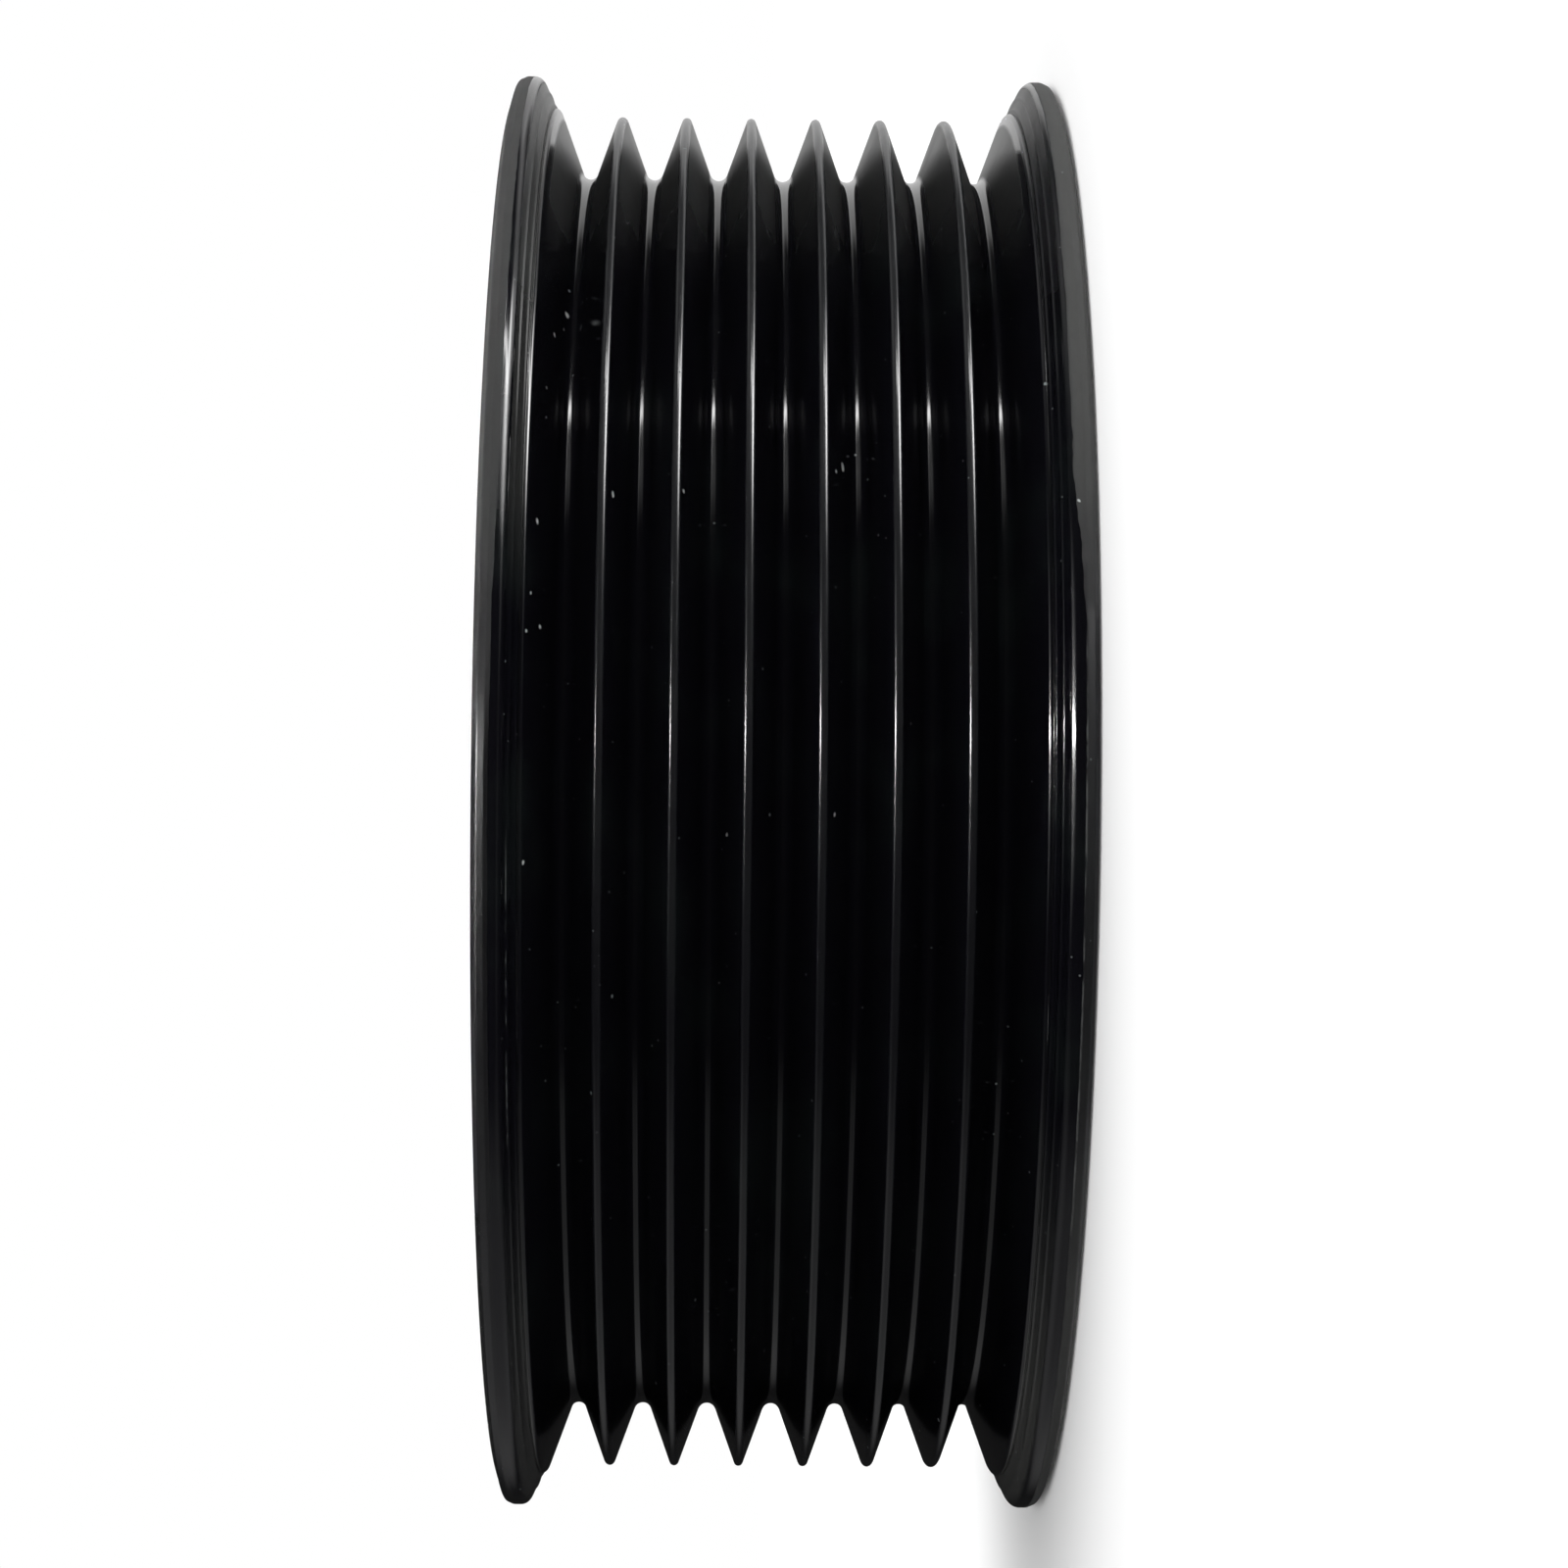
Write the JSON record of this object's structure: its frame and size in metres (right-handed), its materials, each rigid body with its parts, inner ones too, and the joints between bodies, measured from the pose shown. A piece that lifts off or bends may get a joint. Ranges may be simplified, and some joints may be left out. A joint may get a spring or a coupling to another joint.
{
  "type": "ribbed belt pulley",
  "caption": "Black one-piece ribbed belt pulley: V grooves between raised flanges, recessed faces and a plain hub with a through bore.",
  "frame": {"origin": "centre of the back face, on the shaft axis; the pulley stands on this face", "axes": "+Z along the shaft axis towards the front face, where the shaft nut goes; the pulley is round, so X and Y are free"},
  "size_m": [0.0802, 0.0802, 0.0296],
  "materials": {
    "black_gloss_paint": "gloss black paint over turned steel, mottled on the flange rims, with fine dust"
  },
  "bodies": {
    "root": {"pulley": "black_gloss_paint"}
  },
  "joints": []
}
